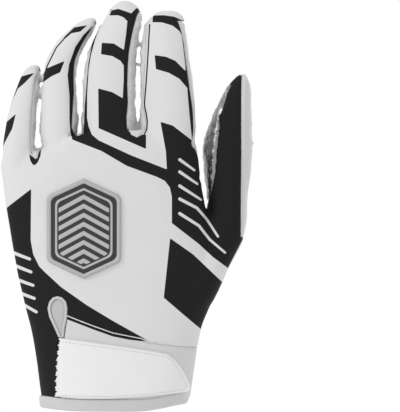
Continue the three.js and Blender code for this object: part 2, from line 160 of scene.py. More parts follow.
HAND = table("""
    up spread thin lean slant
    0 -0.15 0 0.08 0
    0.068 0 0.05 0 0
    0.172 0.16 0.2 0 0
    0.29 0.4 0.4 0 0
    0.394 0.76 0.52 -0.1 0
    0.509 0.95 0.62 0.05 0
    0.616 1.01 0.75 0.28 0
    0.737 1 0.9 0.6 0
    0.82 0.97 1.1 0.8 0.05
    0.902 0.96 1.36 0.94 0.4
    0.965 0.86 1.62 1 0.8
    1.006 0.6 2 1 1
""")
FINGERS = {
    "little": table("""
    up wide deep across
    -0.62 0.92 1 0.02
    -0.29 0.95 0.92 0
    0.12 0.87 0.8 0.05
    0.4 0.78 0.76 0.13
    0.7 0.66 0.68 0.25
    0.87 0.55 0.56 0.33
    0.96 0.4 0.4 0.38
    1 0.2 0.2 0.41
    """),
    "ring": table("""
    up wide deep across
    -0.28 0.92 1.14 0
    0 1 1.02 0
    0.34 0.93 0.9 0
    0.57 0.86 0.86 0.04
    0.79 0.8 0.78 0.31
    0.9 0.66 0.66 0.58
    0.97 0.46 0.46 0.74
    1 0.22 0.22 0.8
    """),
    "middle": table("""
    up wide deep across
    -0.25 0.94 1.24 0
    0 1 1.11 0
    0.3 0.98 0.98 0.01
    0.5 0.95 0.94 0.03
    0.75 0.81 0.86 0.16
    0.9 0.64 0.66 0.28
    0.97 0.42 0.44 0.29
    1 0.18 0.2 0.29
    """),
    "index": table("""
    up wide deep across
    -0.27 0.94 1.22 0.03
    0 1 1.1 0.01
    0.15 0.99 1.04 0.01
    0.4 0.95 0.96 -0.01
    0.65 0.88 0.9 -0.04
    0.88 0.74 0.7 -0.03
    0.96 0.56 0.5 0
    1 0.3 0.24 0.02
    """),
}
THUMB = table("""
    up wide deep across
    0 1 0.96 -1.1
    0.08 1.11 1.1 -0.84
    0.21 1.15 1.12 -0.56
    0.33 1.04 1.08 -0.21
    0.47 0.8 0.98 0
    0.61 0.94 0.96 0
    0.69 1 0.98 0
    0.77 0.9 0.92 0.04
    0.87 0.68 0.78 0.14
    0.94 0.52 0.6 0.22
    0.98 0.32 0.38 0.28
    1 0.16 0.18 0.3
""")

ROOTS = {}
edge = HAND_LEAN - FINGER_ROW / 2
for name in ORDER:
    ROOTS[name] = edge + FINGER_WIDTHS[name] / 2
    edge += FINGER_WIDTHS[name] + FINGER_GAP


def mid_depth(x, z):
    """Depth of the surface halfway between back and palm, where the side seams run."""
    bend = np.clip((z - CURL_START) / (GLOVE_LENGTH - CURL_START), 0, 1.1)
    curl = smooth([ROOTS[n] for n in ORDER], [FINGER_CURLS[n] for n in ORDER], x)
    sideways = ease((x - HAND_RIGHT + 2 * THUMB_GAP) / (4 * THUMB_GAP))
    upwards = ease((z - THUMB_ROOT) / (THUMB_WEB - THUMB_ROOT))
    return curl * bend * bend + THUMB_FORWARD * sideways * upwards


def finger_column(name, column, z):
    """A column of a finger's table at a height."""
    finger = FINGERS[name]
    return smooth(finger["up"], finger[column], (z - PALM_LENGTH) / FINGER_LENGTHS[name])


def finger_centre(name, z):
    return ROOTS[name] + FINGER_WIDTHS[name] * finger_column(name, "across", z)


def thumb_column(column, z):
    return smooth(THUMB["up"], THUMB[column], (z - THUMB_ROOT) / THUMB_LENGTH)


print("finger roots in mm:", {name: round(x / MM, 1) for name, x in ROOTS.items()})

# %% [markdown]
# Cloth that bridges from finger to finger is one skin, so the forms are joined before they
# are parted. A boolean would leave sharp creases at the webs. A voxel remesh fuses the six
# lofts into one even mesh whose webs come out round, as stretched cloth is.

# %% Loft the forms and fuse them
HAND_POWER = 2.3
FINGER_POWER = 2.25
HAND_ROWS = 70
FINGER_ROWS = 60
FOOT_SINK = 1.6 * MM
RELAX_STEPS = 9
VOXEL = 0.92 * MM
FINGER_INSET = 0.5 * MM
RING_SIDES = 72


def loft(rings):
    """Closed mesh through rings of equally many points."""
    rings = np.array(rings)
    rows, sides, _ = rings.shape
    index = np.arange(rows * sides).reshape(rows, sides)
    right = np.roll(index, -1, axis=1)
    quads = np.stack([index[:-1], right[:-1], right[1:], index[1:]], axis=-1).reshape(-1, 4)
    faces = quads.tolist()
    faces.append(index[0][::-1].tolist())
    faces.append(index[-1].tolist())
    return rings.reshape(-1, 3), faces


def ring(x, y, z, half, depth, power, lift=None, bulge=None):
    """One superellipse section."""
    angle = np.linspace(0, 2 * math.pi, RING_SIDES, endpoint=False)
    u = np.sign(np.cos(angle)) * np.abs(np.cos(angle)) ** (2 / power)
    v = np.sign(np.sin(angle)) * np.abs(np.sin(angle)) ** (2 / power)
    zs = np.full(RING_SIDES, z) + (lift(u) if lift else 0)
    ys = y + v * depth + (bulge(u, v) if bulge else 0)
    return np.stack([x + u * half, ys, zs], axis=1)


def hand_section(up, grow=0.0):
    """Centre, half width, half depth, web drop and thumb-side fullness at a share of height."""
    width = WRIST_WIDTH + (PALM_WIDTH - WRIST_WIDTH) * smooth(HAND["up"], HAND["spread"], up)
    depth = WRIST_DEPTH + (PALM_DEPTH - WRIST_DEPTH) * smooth(HAND["up"], HAND["thin"], up)
    x = HAND_LEAN * smooth(HAND["up"], HAND["lean"], up)
    drop = WEB_DROP * smooth(HAND["up"], HAND["slant"], up)
    full = THENAR_DEPTH * math.sin(math.pi * min(up / 0.85, 1))
    return x, width / 2 + grow, depth / 2 + grow, drop, full


def hand_ring(up, grow=0.0, height=None):
    """The hand's section at a share of palm length."""
    x, half, depth, drop, full = hand_section(up, grow)
    return ring(
        x, 0, PALM_LENGTH * up if height is None else height, half, depth, HAND_POWER,
        lift=lambda u: -drop * ease((-u - 0.15) / 0.5),
        bulge=lambda u, v: np.where(v > 0, full * v * ease((u + 0.4) / 1.2), 0),
    )


forms = [loft([hand_ring(up) for up in np.linspace(0, HAND["up"][-1], HAND_ROWS)])]
for name in ORDER:
    rows = []
    foot = FINGERS[name]["up"][0]
    for up in np.linspace(foot, 1, FINGER_ROWS):
        z = PALM_LENGTH + up * FINGER_LENGTHS[name]
        sunk = FOOT_SINK * (1 - ease((up - foot) / 0.3))
        half = FINGER_WIDTHS[name] / 2 * finger_column(name, "wide", z) - FINGER_INSET - sunk
        depth = FINGER_DEPTH / 2 * finger_column(name, "deep", z) - sunk
        x = finger_centre(name, z)
        rows.append(ring(x, float(mid_depth(x, z)), z, half, depth, FINGER_POWER))
    forms.append(loft(rows))
rows = []
for up in np.linspace(0, 1, HAND_ROWS):
    z = THUMB_ROOT + up * THUMB_LENGTH
    x = THUMB_CENTRE + THUMB_WIDTH * thumb_column("across", z)
    half = THUMB_WIDTH / 2 * thumb_column("wide", z)
    depth = THUMB_DEPTH / 2 * thumb_column("deep", z)
    rows.append(ring(x, float(mid_depth(x, z)), z, half, depth, FINGER_POWER))
forms.append(loft(rows))

points = []
faces = []
for form_points, form_faces in forms:
    faces += [[corner + len(points) for corner in face] for face in form_faces]
    points += form_points.tolist()
mesh = bpy.data.meshes.new("fused_form")
mesh.from_pydata(points, [], faces)
form = bpy.data.objects.new("fused_form", mesh)
bpy.context.collection.objects.link(form)
remesh = form.modifiers.new("fuse", "REMESH")
remesh.mode = "VOXEL"
remesh.voxel_size = VOXEL
relax = form.modifiers.new("relax", "SMOOTH")
relax.factor = 0.5
relax.iterations = RELAX_STEPS
fused = bpy.data.meshes.new_from_object(
    form.evaluated_get(bpy.context.evaluated_depsgraph_get()))
bpy.data.objects.remove(form)
fused.calc_loop_triangles()
verts = np.zeros(len(fused.vertices) * 3)
fused.vertices.foreach_get("co", verts)
verts = verts.reshape(-1, 3)
tris = np.zeros(len(fused.loop_triangles) * 3, int)
fused.loop_triangles.foreach_get("vertices", tris)
tris = tris.reshape(-1, 3)
print("fused skin:", len(verts), "points,", len(tris), "triangles")

# %% [markdown]
# The seams and the print have clean edges, so the mesh is split along them. Knife tools and
# booleans work face by face, but one small function does both jobs: it splits every edge
# that crosses the zero line of a signed distance, or every edge near a fine print.

# %% Split a mesh along a line
# New triangles by the number of split edges: 0 to 2 are corners, 3 to 5 points on edges.
CASES = {
    1: [(0, 3, 2), (3, 1, 2)],
    2: [(4, 2, 5), (0, 1, 4), (0, 4, 5)],
    3: [(0, 3, 5), (3, 1, 4), (5, 4, 2), (3, 4, 5)],
}


def split(verts, tris, chosen, share):
    """Splits the chosen edges, given by a test on their ends, and the triangles on them."""
    pairs = np.concatenate([tris[:, [0, 1]], tris[:, [1, 2]], tris[:, [2, 0]]])
    low = pairs.min(axis=1)
    high = pairs.max(axis=1)
    key = low * (len(verts) + 1) + high
    unique, first, back = np.unique(key, return_index=True, return_inverse=True)
    a = low[first]
    b = high[first]
    marked = chosen(a, b)
    at = share(a, b)[marked][:, None]
    fresh = np.full(len(unique), -1)
    fresh[marked] = len(verts) + np.arange(marked.sum())
    added = verts[a[marked]] * (1 - at) + verts[b[marked]] * at
    new = fresh[back.reshape(3, -1).T]
    count = (new >= 0).sum(axis=1)
    out = [tris[count == 0]]
    for wanted, shapes in CASES.items():
        for turn in range(3 if wanted < 3 else 1):
            six = np.hstack([np.roll(tris, -turn, axis=1), np.roll(new, -turn, axis=1)])
            rows = (count == wanted) & ((six[:, 3] >= 0) == (wanted != 2))
            out += [six[rows][:, shape] for shape in shapes]
    return np.concatenate([verts, added]), np.concatenate(out)


SNAP = 0.06 * MM


def cut(verts, tris, field):
    """Splits a mesh along the zero line of a field."""
    value = field(verts)
    value = np.where(np.abs(value) < SNAP, 0, value)

    def crosses(a, b):
        return value[a] * value[b] < 0

    def where(a, b):
        return value[a] / np.where(value[a] == value[b], 1, value[a] - value[b])

    return split(verts, tris, crosses, where)


def refine(verts, tris, field, near):
    """Halves the edges that lie close to the zero line of a field."""
    value = np.abs(field(verts))
    return split(
        verts, tris, lambda a, b: np.minimum(value[a], value[b]) < near,
        lambda a, b: np.full(len(a), 0.5))


def outline(points):
    """Signed distance to an outline of across and up values, positive inside."""
    corners = np.array(points, float)

    def field(x, z):
        best = np.full(x.shape, 1e9)
        inside = np.zeros(x.shape, bool)
        for (ax, az), (bx, bz) in zip(corners, np.roll(corners, -1, axis=0)):
            ex, ez = bx - ax, bz - az
            t = np.clip(((x - ax) * ex + (z - az) * ez) / (ex * ex + ez * ez + 1e-18), 0, 1)
            best = np.minimum(best, (x - ax - t * ex) ** 2 + (z - az - t * ez) ** 2)
            spans = (az > z) != (bz > z)
            side = ex * (z - az) / np.where(ez == 0, 1e-18, ez) + ax
            inside ^= spans & (x < side)
        return np.where(inside, 1, -1) * np.sqrt(best)

    return field


def stroke(points, start, end=None):
    """Signed distance to a line with round ends, positive inside, that may taper."""
    corners = np.array(points, float)
    end = start if end is None else end
    lengths = np.linalg.norm(np.diff(corners, axis=0), axis=1)
    done = np.concatenate([[0], np.cumsum(lengths)]) / lengths.sum()

    def field(x, z):
        best = np.full(x.shape, -1e9)
        for row, ((ax, az), (bx, bz)) in enumerate(zip(corners[:-1], corners[1:])):
            ex, ez = bx - ax, bz - az
            t = np.clip(((x - ax) * ex + (z - az) * ez) / (ex * ex + ez * ez), 0, 1)
            far = np.hypot(x - ax - t * ex, z - az - t * ez)
            along = done[row] + (done[row + 1] - done[row]) * t
            best = np.maximum(best, start + (end - start) * along - far)
        return best

    return field


def photo_line(*pixels):
    return [place(px, py) for px, py in pixels]


print("split, cut, refine, outline and stroke are ready")

# %% [markdown]
# The real pattern pieces are the back panel, the palm, a set-in thumb, a strip between each
# pair of fingers, a silver strip inside the thumb and a wrist panel. Each region is a signed
# distance, positive inside, and they are taken in the order in which they were sewn.

# %% Regions of the pattern pieces
FAR = 1.0


SLOTS_BETWEEN = {
    "little": [
        (43, 66), (39, 71), (36, 79), (34, 92), (32.3, 110), (31.5, 133), (31.8, 148),
        (33, 156), (35.5, 159), (38.2, 157.2), (39.5, 150), (40, 133), (39.8, 110),
        (40.2, 92), (41.2, 82), (43.5, 72)],
    "ring": [
        (98, 21), (90, 31), (83.5, 44), (79, 58), (76.2, 78), (74.3, 100), (73.2, 118),
        (72.8, 127), (74.6, 133), (78.6, 135.8), (82.4, 133), (83.4, 124), (83.8, 108),
        (85.6, 84), (87.6, 62), (91, 43), (95.5, 30)],
    "middle": [
        (141, 8), (137.5, 14), (134.4, 25), (131.6, 38), (129.4, 51), (128.2, 67),
        (127.8, 87), (128.8, 103), (127.2, 117), (127.8, 127.5), (131.5, 134.6),
        (137.4, 137.4), (143, 134), (145.8, 126.7), (144.4, 116.7), (141.9, 106.7),
        (142.7, 86.7), (143.6, 66.7), (144.7, 50), (145, 33), (146.8, 20), (149, 10)],
}


STRIP_TO_BACK = 0.35      # shares of the finger's half depth
STRIP_TO_PALM = 0.7
STRIP_WRAP = 0.2
STRIP_TAPER = 9 * MM
STRIP_STOP = 0.4 * FOURCHETTE_STOP


def fourchette(left, right):
    """The strip between two fingers, from one finger's middle to the next one's."""
    webs = {"little": PALM_LENGTH - WEB_DROP, "ring": PALM_LENGTH, "middle": PALM_LENGTH}
    top = PALM_LENGTH + min(FINGER_LENGTHS[left], FINGER_LENGTHS[right]) - STRIP_STOP
    slot = outline(photo_line(*SLOTS_BETWEEN[left]))

    def field(p):
        x, y, z = p.T
        deep = np.minimum(finger_column(left, "deep", z), finger_column(right, "deep", z))
        half = FINGER_DEPTH / 2 * np.minimum(deep, 1)
        rise = y - mid_depth(x, z)
        narrow = np.sqrt(np.clip((top - z) / STRIP_TAPER, 0, 1))
        inner = np.minimum(STRIP_TO_BACK * half + rise, STRIP_TO_PALM * half * narrow - rise)
        front = np.minimum(slot(x, z), STRIP_WRAP * half - rise)
        bottom = z - (webs[left] - FOURCHETTE_DIP)
        sides = np.minimum(x - finger_centre(left, z), finger_centre(right, z) - x)
        box = np.minimum.reduce([bottom, sides, top - z])
        return np.maximum(np.minimum(inner, box), front)

    return field


SILVER = photo_line(
    (231, 84), (226.5, 93), (223.7, 103), (222.5, 109), (218.8, 115.5), (219.4, 127),
    (218.4, 138), (216.8, 152), (215, 172), (211.5, 188), (206.4, 205), (200, 205), (200, 84))
silver_front = outline(SILVER)


SILVER_REACH = 0.4        # share of the thumb's half width
SILVER_TO_PALM = 0.3 * THUMB_DEPTH
SILVER_WRAP = 0.1 * THUMB_DEPTH
CROTCH_WIDTH = 3 * MM
CROTCH_HEIGHT = 16 * MM


def thumb_inner(p):
    """The silver strip that faces the hand."""
    x, y, z = p.T
    half = THUMB_WIDTH / 2 * thumb_column("wide", z)
    centre = THUMB_CENTRE + THUMB_WIDTH * thumb_column("across", z)
    low = THUMB_WEB + 1.0 * MM
    high = THUMB_ROOT + THUMB_LENGTH - 0.5 * FOURCHETTE_STOP
    rise = y - mid_depth(centre, z)
    behind = np.minimum.reduce(
        [centre - SILVER_REACH * half - x, SILVER_TO_PALM - rise, rise])
    crotch = CROTCH_WIDTH * (1 - ease((z - low) / CROTCH_HEIGHT))
    outer = x - (HAND_RIGHT + 0.2 * THUMB_GAP + crotch)
    box = np.minimum.reduce([outer, z - low, high - z])
    front = np.minimum(silver_front(x, z), SILVER_WRAP - rise)
    return np.minimum(box, np.maximum(behind, front))


THUMB_SEAM = [(0.74, 0.235), (0.42, 0.255), (0.20, 0.34), (0.10, 0.43), (0.09, 0.61), (0.16, 0.69)]
thumb_top = THUMB_ROOT + THUMB_LENGTH + FOURCHETTE_DIP
thumb_front = outline(
    [(PALM_WIDTH * across, PALM_LENGTH * up) for across, up in THUMB_SEAM]
    + [(HAND_RIGHT + THUMB_GAP / 2, THUMB_WEB), (HAND_RIGHT + THUMB_GAP / 2, thumb_top)]
    + [(PALM_WIDTH * 0.9, thumb_top)])


BAND_ACROSS = 0.28        # share of the thumb's width
BAND_FOOT = 0.62          # share of the palm's length


def thumb_set_in(p):
    """The grip piece of the thumb with the strip that wraps to its outer side."""
    x, y, z = p.T
    front = np.minimum(thumb_front(x, z), y - mid_depth(x, z))
    strip = np.minimum(x - (THUMB_CENTRE + BAND_ACROSS * THUMB_WIDTH), z - BAND_FOOT * PALM_LENGTH)
    return np.maximum(front, strip)


INDEX_WRAP = 5.4 * MM


def palm(p):
    """The grip palm, without the tips that the back panel wraps."""
    x, y, z = p.T
    outer = ease((x - ROOTS["index"]) / (6 * MM)) * ease((z - 0.85 * PALM_LENGTH) / (14 * MM))
    side = y - mid_depth(x, z) + INDEX_WRAP * outer * (x < HAND_RIGHT + 2 * THUMB_GAP)
    caps = np.full(len(p), -FAR)
    for name in ORDER:
        half = FINGER_WIDTHS[name] / 2 * finger_column(name, "wide", z) + FINGER_GAP / 2
        tip = PALM_LENGTH + FINGER_LENGTHS[name] - TIP_WRAP
        within = half - np.abs(x - finger_centre(name, z))
        caps = np.maximum(caps, np.minimum(within, z - tip))
    return np.minimum(side, -caps)


STRAP_LOW = BINDING_HEIGHT + 0.6 * MM
STRAP_TOP = STRAP_LOW + STRAP_HEIGHT
WRIST_SEAM = photo_line(
    (68, 315), (82, 320.6), (95.7, 325.7), (113.6, 332), (130, 335.3), (142, 337.6), (150, 342),
    (172, 345), (196, 347), (240, 350))
wrist_left = place(60, 0)[0]
wrist_outline = outline(
    [(wrist_left, STRAP_TOP), (wrist_left, -FAR), (FAR, -FAR)] + WRIST_SEAM[::-1])


def wrist(p):
    x, y, z = p.T
    return np.minimum(wrist_outline(x, z), mid_depth(x, z) - y)


VENT = photo_line(
    (60.5, 338), (55.5, 327), (50.4, 316), (48.8, 308), (50.4, 301.5), (54, 297.3), (58.4, 296),
    (63, 297.3), (66.6, 301), (68, 307), (67.4, 318), (65.2, 328), (64.4, 338))
vent_outline = outline(VENT)


def vent(p):
    x, y, z = p.T
    return np.minimum(vent_outline(x, z), mid_depth(x, z) - y)


def cuff(p):
    return BINDING_HEIGHT - 0.6 * MM - p[:, 2]


REGIONS = {
    "cuff": cuff,
    "vent": vent,
    "fourchette_little_ring": fourchette("little", "ring"),
    "fourchette_ring_middle": fourchette("ring", "middle"),
    "fourchette_middle_index": fourchette("middle", "index"),
    "thumb_gusset": thumb_inner,
    "thumb_palm": thumb_set_in,
    "wrist_panel": wrist,
    "palm_panel": palm,
}
for name, region in REGIONS.items():
    verts, tris = cut(verts, tris, region)
print("skin after the seams:", len(verts), "points,", len(tris), "triangles")

# %% [markdown]
# The black print is flat ink on white knit. An image would carry it on a real product. Here
# each black shape is an outline measured off the photograph, its signed distance is kept on
# the mesh as an attribute, and the cloth's shader turns the zero line into a crisp edge.

# %% The print on the back
BLACK_SHAPES = {
    "little_tip": [
        (34, 72.5), (24, 83), (17.5, 88.5), (12.5, 99), (9, 110), (5.5, 121), (4, 125),
        (-6, 128), (-6, 100), (8, 82), (20, 76)],
    "little_block": [(16, 114), (12.5, 129), (1, 150), (-8, 154), (-8, 126), (4, 124)],
    "ring_tip": [(87, 24.5), (80, 31), (71, 32.7), (62, 40.5), (64, 36), (73.5, 26.6)],
    "ring_block": [(64.5, 60.8), (60.2, 72.3), (52, 76), (43, 82), (40, 80), (47, 68)],
    "ring_side": [
        (99, 21), (92.4, 25), (83, 34.5), (75, 46.5), (69, 64), (67.6, 75), (69.6, 96),
        (69.8, 120), (71, 134), (73, 140), (80, 142), (80, 100), (80, 62), (88, 40)],
    "long_band": [
        (72, 130), (73, 140), (102, 151.3), (127, 166), (157, 177), (165, 181), (170, 187.5),
        (172, 197), (182, 197), (182, 150), (166, 150), (167, 169.5), (131, 155.4),
        (99, 140.6), (92.4, 135), (89, 127), (87.3, 118), (87.3, 94), (88.6, 70), (90.6, 56),
        (94.6, 40), (99.2, 27), (103.8, 16), (111.5, 8), (108, 8), (95, 25), (86, 48),
        (79, 75), (78, 120)],
    "middle_side": [
        (109, 14.7), (111, 9.4), (117.8, 8), (125.8, 10.7), (131, 12.7), (136, 7), (142, 9),
        (136, 27), (133, 60), (132, 120), (133, 135), (146.3, 135), (146.3, 149.3),
        (99, 128.5), (98.4, 88.6), (112.4, 92.4), (122.9, 98.4), (123.8, 80), (123.8, 65.6),
        (120.5, 60.9), (112.4, 56.2), (101, 54.2), (101.7, 42.6), (113.8, 43.5),
        (123.8, 49.8), (125.8, 34.8), (127.2, 20.7), (123.2, 16.7), (117.8, 14.7)],
    "index_side": [
        (152.6, 14.7), (163.3, 14.5), (174, 16), (182.7, 20), (186, 14), (194, 20),
        (204, 60), (206, 141), (192.1, 140.6), (189.4, 113.8), (187.4, 91), (187.4, 88.4),
        (179.4, 79), (168.7, 73), (156, 69.3), (154.6, 55.2), (166, 56.9), (175.4, 60.9),
        (185.4, 71), (185.4, 66), (181.8, 34.8), (179.4, 30.8), (172.7, 25.4), (162, 22),
        (152.3, 21.7)],
    "thumb_and_side": [
        (160.6, 122.1), (172.7, 125.8), (192.1, 140.6), (206, 134), (206, 60), (270, 60),
        (262, 200), (243, 239), (228, 268), (213, 257), (199, 244), (172, 223), (172, 190),
        (167, 169.4), (166, 151.3)],
    "lower_block": [
        (170.3, 238), (193, 254), (221.3, 281), (240, 296), (220, 345.5), (164, 297),
        (169, 250)],
    "side_panel": [
        (32, 189), (31.5, 240), (34, 254), (40, 266), (46, 272), (62, 286.5), (87, 304),
        (113.6, 320), (143, 336.4), (152, 343.3), (146, 340.6), (130, 338.7), (113.6, 335.4),
        (95.7, 329.1), (68, 318.6), (64, 345), (61, 430), (-20, 430), (-20, 228)],
    "web_crescent": [
        (29.5, 153.5), (30.8, 160), (33, 164.5), (35.5, 165.5), (38.5, 162.5), (41.2, 156),
        (41.6, 147), (38, 147), (36, 157), (33, 157)],
}
BLACK_LINES = {
    "ring_left": [
        (66, 35.5), (56, 47), (47, 65.5), (42, 80), (40.7, 94), (40.4, 134), (41.2, 147),
        (40, 157)],
    "index_left": [
        (149.5, 24), (148, 54), (146.4, 80), (144.6, 102), (144.8, 107), (146.4, 114),
        (147.4, 121), (147, 130), (144, 135.5), (139, 138.6), (132, 137), (128, 133)],
}
WHITE_SLITS = [
    [(179.8, 159.8), (194.4, 170.3)],
    [(179.8, 172), (197.4, 184)],
    [(179.8, 186), (201, 199.7)],
    [(179.8, 199), (197, 208), (206.6, 219), (218, 236.5)],
    [(179.8, 213.5), (199, 225.7), (209.7, 239.5), (225, 252.5)],
]
WHITE_STRIPES = [
    [(0, 247.8), (30.4, 258.8)],
    [(0, 259.8), (31.8, 271.7)],
    [(0, 273.8), (33.8, 285)],
    [(0, 286), (35, 298)],
    [(0, 292), (37, 311.5)],
]
LINE_HALF = 0.7 * PIXEL
SLIT_HALVES = (1.55 * PIXEL, 1.1 * PIXEL)
STRIPE_HALVES = (1.9 * PIXEL, 1.45 * PIXEL)

black_fields = [outline(photo_line(*shape)) for shape in BLACK_SHAPES.values()]
black_fields += [stroke(photo_line(*line), LINE_HALF) for line in BLACK_LINES.values()]
white_fields = [stroke(photo_line(*line), *SLIT_HALVES) for line in WHITE_SLITS]
white_fields += [stroke(photo_line(*line), *STRIPE_HALVES) for line in WHITE_STRIPES]


INK_ROUND = 6 * MM        # how far past the side the print runs
CAP_START = 0.5 * MM
CAP_EXTRA = 1 * MM


def ink(p):
    """Signed distance to the print's edge, positive in the black."""
    x, y, z = p.T
    black = np.maximum.reduce([field(x, z) for field in black_fields])
    white = np.maximum.reduce([field(x, z) for field in white_fields])
    behind = mid_depth(x, z) + INK_ROUND - y
    caps = np.full(len(p), -FAR)
    for name in ORDER:
        within = FINGER_WIDTHS[name] / 2 - np.abs(x - finger_centre(name, z))
        cap_foot = PALM_LENGTH + FINGER_LENGTHS[name] - TIP_WRAP - CAP_EXTRA
        rise = y - mid_depth(x, z) - CAP_START
        caps = np.maximum(caps, np.minimum.reduce([within, z - cap_foot, rise]))
    return np.maximum(np.minimum.reduce([black, -white, behind]), caps)


PRINT_EDGE = 0.6 * MM
verts, tris = refine(verts, tris, ink, PRINT_EDGE)
print("skin with the print's edge refined:", len(verts), "points,", len(tris), "triangles")

# %% [markdown]
# Sewn cloth sinks at its seams and stands up beside them, and thin cloth between fingers
# gathers into small folds. A cloth simulation would need the flat pattern. Seeded noise and
# the distance to the nearest seam give the same relief, point by point.

# %% Part the skin and give it relief
centres = verts[tris].mean(axis=1)
labels = np.full(len(tris), -1)
names = list(REGIONS) + ["back_panel"]
for number, region in enumerate(REGIONS.values()):
    inside = (region(centres) > 0) & (labels < 0)
    labels[inside] = number
labels[labels < 0] = len(REGIONS)

pairs = np.sort(np.concatenate([tris[:, [0, 1]], tris[:, [1, 2]], tris[:, [2, 0]]]), axis=1)
owners = np.tile(labels, 3)
order = np.lexsort((pairs[:, 1], pairs[:, 0]))
same = (pairs[order][1:] == pairs[order][:-1]).all(axis=1)
differ = same & (owners[order][1:] != owners[order][:-1])
seam_points = np.unique(pairs[order][1:][differ])
tree = kdtree.KDTree(len(seam_points))
for number, point in enumerate(verts[seam_points]):
    tree.insert(point, number)
tree.balance()
seam_distance = np.array([tree.find(point)[2] for point in verts])

corners = verts[tris]
face_normals = np.cross(corners[:, 1] - corners[:, 0], corners[:, 2] - corners[:, 0])
normals = np.zeros_like(verts)
for corner in range(3):
    np.add.at(normals, tris[:, corner], face_normals)
normals /= np.linalg.norm(normals, axis=1, keepdims=True) + 1e-12


def crumple(points, stretch, size, seed):
    """Seeded noise from -1 to 1 at each point, stretched along the axes."""
    scaled = points * np.array(stretch) / size + seed
    return np.array([noise.noise(Vector(point)) for point in scaled])


piece_of_point = np.full(len(verts), len(REGIONS))
for number in range(len(REGIONS) + 1):
    piece_of_point[tris[labels == number].ravel()] = number


def of_piece(*wanted):
    return np.isin(piece_of_point, [names.index(name) for name in wanted])


SEAM_DEPTH = 0.55 * MM
SEAM_WIDTH = 0.75 * MM
SWELL_RISE = 0.16 * MM
SWELL_PLACE = 2.0 * MM
SWELL_WIDTH = 1.2 * MM
lift = -SEAM_DEPTH * np.exp(-((seam_distance / SEAM_WIDTH) ** 2))
lift += SWELL_RISE * np.exp(-(((seam_distance - SWELL_PLACE) / SWELL_WIDTH) ** 2))

x, y, z = verts.T
calm = ease(seam_distance / (1.5 * MM))
even = np.ones(len(verts))
gather = np.exp(-(((z - PALM_LENGTH + 2 * MM) / (7 * MM)) ** 2)) * (y > mid_depth(x, z))
strips = of_piece("fourchette_little_ring", "fourchette_ring_middle", "fourchette_middle_index")
silver = of_piece("thumb_gusset")
grip = of_piece("palm_panel", "thumb_palm")
back = of_piece("back_panel", "wrist_panel")
# points, height of the folds, their size, stretch, seed and where they fade
FOLDS = [
    (strips, 0.75, 4.2, (0.7, 0.6, 1.0), 3.0, calm),
    (strips, 0.35, 1.9, (1, 1, 1.6), 9.0, calm),
    (silver, 0.6, 3.4, (1, 1, 1), 5.0, calm),
    (silver, 0.3, 1.6, (1, 1, 1), 6.0, even),
    (grip, 1.15, 3.2, (0.45, 0.6, 1.5), 21.0, gather * calm),
    (grip, 0.28, 9, (0.7, 0.7, 1.0), 31.0, even),
    (back, 0.22, 13, (1.0, 1.0, 0.55), 41.0, even),
]
for chosen, height, size, stretch, seed, fade in FOLDS:
    lift[chosen] += height * MM * crumple(verts[chosen], stretch, size * MM, seed) * fade[chosen]
verts = verts + normals * lift[:, None]
skin_tree = BVHTree.FromPolygons(verts.tolist(), tris.tolist())
print("longest relief:", round(float(np.abs(lift).max() / MM), 2), "mm")

# %% [markdown]
# A finish is a small node tree: colour, its variation, a weave or grain as bump, and sheen.
# Object coordinates carry it, so it stays on the cloth from any side.

# %% Finishes
def finish(name, color, roughness, grain=0.4, grain_size=0.6, variation=0.04, **sockets):
    """A cloth or sheet finish with fine grain and slightly uneven colour."""
    material = bpy.data.materials.new(name)
    material.use_nodes = True
    tree = material.node_tree
    shader = tree.nodes["Principled BSDF"]
    shader.inputs["Roughness"].default_value = roughness
    for socket, value in sockets.items():
        shader.inputs[socket.replace("_", " ")].default_value = value
    place_of = tree.nodes.new("ShaderNodeTexCoord").outputs["Object"]
    cloud = tree.nodes.new("ShaderNodeTexNoise")
    cloud.inputs["Scale"].default_value = 1 / (14 * MM)
    cloud.inputs["Detail"].default_value = 4
    tree.links.new(place_of, cloud.inputs["Vector"])
    ramp = tree.nodes.new("ShaderNodeMapRange")
    ramp.inputs["To Min"].default_value = 1 - variation
    ramp.inputs["To Max"].default_value = 1 + variation
    tree.links.new(cloud.outputs["Fac"], ramp.inputs["Value"])
    shade = tree.nodes.new("ShaderNodeVectorMath")
    shade.name = "shade"
    shade.operation = "SCALE"
    shade.inputs[0].default_value = color
    tree.links.new(ramp.outputs["Result"], shade.inputs["Scale"])
    tree.links.new(shade.outputs["Vector"], shader.inputs["Base Color"])
    fine = tree.nodes.new("ShaderNodeTexNoise")
    fine.inputs["Scale"].default_value = 1 / (grain_size * MM)
    fine.inputs["Detail"].default_value = 3
    tree.links.new(place_of, fine.inputs["Vector"])
    bump = tree.nodes.new("ShaderNodeBump")
    bump.inputs["Strength"].default_value = grain
    bump.inputs["Distance"].default_value = 0.25 * MM
    tree.links.new(fine.outputs["Fac"], bump.inputs["Height"])
    tree.links.new(bump.outputs["Normal"], shader.inputs["Normal"])
    return material


def two_tone(material, attribute, light, dark, edge):
    """Colours a finish by a signed distance on the mesh: dark where it is positive."""
    tree = material.node_tree
    distance = tree.nodes.new("ShaderNodeAttribute")
    distance.attribute_name = attribute
    step = tree.nodes.new("ShaderNodeMapRange")
    step.inputs["From Min"].default_value = -edge
    step.inputs["From Max"].default_value = edge
    tree.links.new(distance.outputs["Fac"], step.inputs["Value"])
    mix = tree.nodes.new("ShaderNodeMix")
    mix.data_type = "RGBA"
    mix.inputs[6].default_value = (*light, 1)
    mix.inputs[7].default_value = (*dark, 1)
    tree.links.new(step.outputs["Result"], mix.inputs[0])
    tree.links.new(mix.outputs[2], tree.nodes["shade"].inputs[0])


